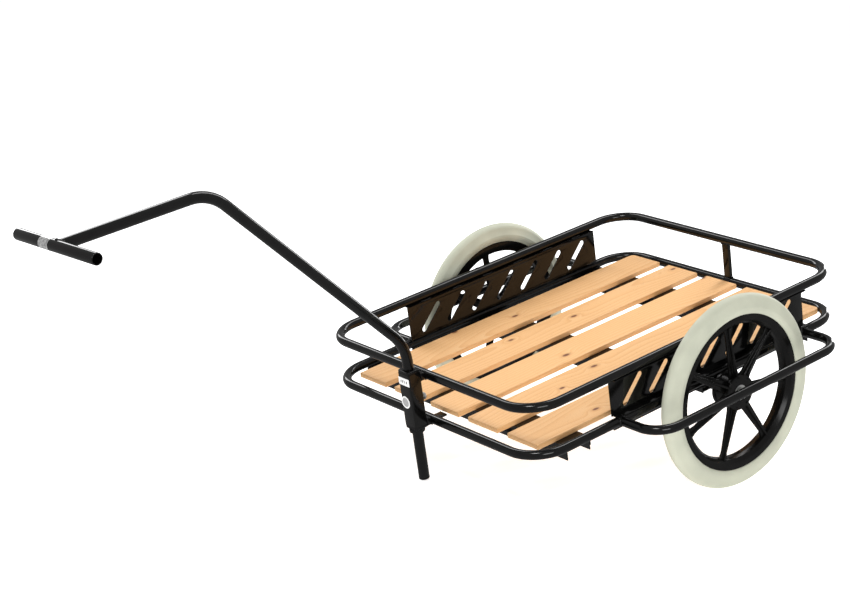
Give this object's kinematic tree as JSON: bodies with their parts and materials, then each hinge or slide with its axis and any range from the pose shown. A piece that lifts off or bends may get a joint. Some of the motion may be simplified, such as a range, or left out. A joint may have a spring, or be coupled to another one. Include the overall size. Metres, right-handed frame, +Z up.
{
  "type": "hand cart",
  "caption": "Two-wheeled hand cart: slatted wooden deck in a black tube frame with side panels, wheel guards, solid pale tyres and a long bent pull handle.",
  "frame": {"origin": "centre of the bounding box's footprint, on the floor that the wheels and the leg stand on", "axes": "+X across the cart to its left, -Y towards the pulling end, +Z up"},
  "size_m": [0.883, 1.7042, 0.6479],
  "materials": {
    "black_paint": "gloss black powder coat",
    "pine": "planed pine, unpainted",
    "zinc_steel": "bright zinc",
    "tyre": "smooth pale grey-green, matt",
    "wheel_plastic": "moulded, satin",
    "bush_plastic": "moulded, matt",
    "grip_foil": "silver foil sleeve",
    "label_paper": "white sticker",
    "badge_plastic": "grey disc with a white ring"
  },
  "bodies": {
    "cart": {"upper_rail": "black_paint", "lower_rail": "black_paint", "rear_post": "black_paint", "side_panel_left": "black_paint", "side_panel_right": "black_paint", "wheel_guard_left": "black_paint", "wheel_guard_right": "black_paint", "cross_member_front": "black_paint", "cross_member_middle": "black_paint", "cross_member_rear": "black_paint", "plank_1": "pine", "plank_2": "pine", "plank_3": "pine", "plank_4": "pine", "plank_5": "pine", "plank_screws": "zinc_steel", "front_lug": "black_paint", "axle_bracket_left": "black_paint", "axle_bracket_right": "black_paint", "axle_left": "zinc_steel", "axle_right": "zinc_steel", "axle_nuts": "zinc_steel", "axle_washers": "zinc_steel", "handle_socket": "black_paint", "socket_saddles": "black_paint", "socket_bush_top": "bush_plastic", "socket_bush_bottom": "bush_plastic", "clamp_nut": "black_paint", "socket_label": "label_paper", "socket_badge": "badge_plastic", "spacer_left": "zinc_steel", "spacer_right": "zinc_steel"},
    "handle": {"handle_bar": "black_paint", "grip_bar": "black_paint", "grip_label": "grip_foil", "leg_plug": "bush_plastic", "stop_collar": "black_paint"},
    "wheel_left": {"wheel_left": "wheel_plastic", "tyre_left": "tyre", "bearings_left": "zinc_steel"},
    "wheel_right": {"wheel_right": "wheel_plastic", "tyre_right": "tyre", "bearings_right": "zinc_steel"},
    "clamp_screw": {"clamp_screw": "zinc_steel"}
  },
  "joints": [
    {"name": "wheel_left_spin", "type": "hinge", "parent": "cart", "child": "wheel_left", "pos_m": [0.3707, 0.48954, 0.2], "axis": [1, 0, 0], "continuous": true},
    {"name": "wheel_right_spin", "type": "hinge", "parent": "cart", "child": "wheel_right", "pos_m": [-0.3707, 0.48954, 0.2], "axis": [1, 0, 0], "continuous": true},
    {"name": "handle_swivel", "type": "hinge", "parent": "cart", "child": "handle", "pos_m": [0, -0.03476, 0.18144], "axis": [0, -0.2025, 0.9793], "continuous": true},
    {"name": "clamp_screw_travel", "type": "slide", "parent": "cart", "child": "clamp_screw", "axis": [0, 0.9793, 0.2025], "range_m": [0, 0.008]}
  ]
}
